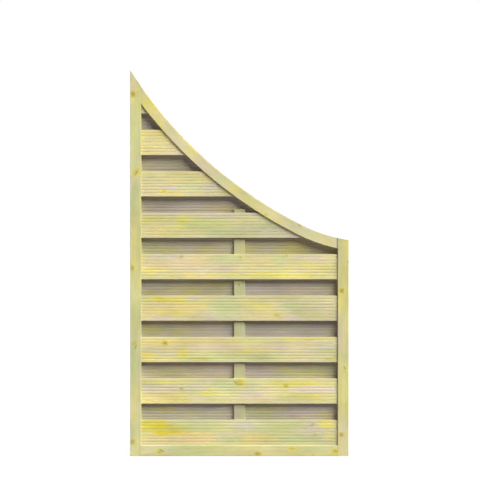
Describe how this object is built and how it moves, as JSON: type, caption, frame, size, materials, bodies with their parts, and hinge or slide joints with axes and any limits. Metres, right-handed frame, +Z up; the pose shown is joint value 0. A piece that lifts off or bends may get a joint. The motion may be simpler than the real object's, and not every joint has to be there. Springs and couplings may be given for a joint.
{
  "type": "privacy fence panel",
  "caption": "Framed softwood privacy fence panel with a concave swept top edge and two staggered layers of ribbed horizontal slats on a centre batten.",
  "frame": {"origin": "middle of the underside, midway through the frame's depth", "axes": "+Z up, +X along the panel from the tall post to the short post, front face towards -Y"},
  "size_m": [1.005, 0.045, 1.776],
  "materials": {
    "frame_pine": "planed, pressure treated, pale yellow-green",
    "slat_pine": "ribbed along the grain, pressure treated, pale yellow-green",
    "batten_pine": "planed, pressure treated, pale yellow-green",
    "galvanised_wire": "dull zinc"
  },
  "bodies": {
    "root": {"back_slat_1": "slat_pine", "back_slat_2": "slat_pine", "back_slat_3": "slat_pine", "back_slat_4": "slat_pine", "back_slat_5": "slat_pine", "back_slat_6": "slat_pine", "back_slat_7": "slat_pine", "back_slat_8": "slat_pine", "back_slat_staples": "galvanised_wire", "bottom_rail": "frame_pine", "centre_batten": "batten_pine", "corner_nails": "galvanised_wire", "front_slat_1": "slat_pine", "front_slat_2": "slat_pine", "front_slat_3": "slat_pine", "front_slat_4": "slat_pine", "front_slat_5": "slat_pine", "front_slat_6": "slat_pine", "front_slat_7": "slat_pine", "front_slat_8": "slat_pine", "front_slat_9": "slat_pine", "front_slat_staples": "galvanised_wire", "short_post": "frame_pine", "tall_post": "frame_pine", "top_rail": "frame_pine"}
  },
  "joints": []
}
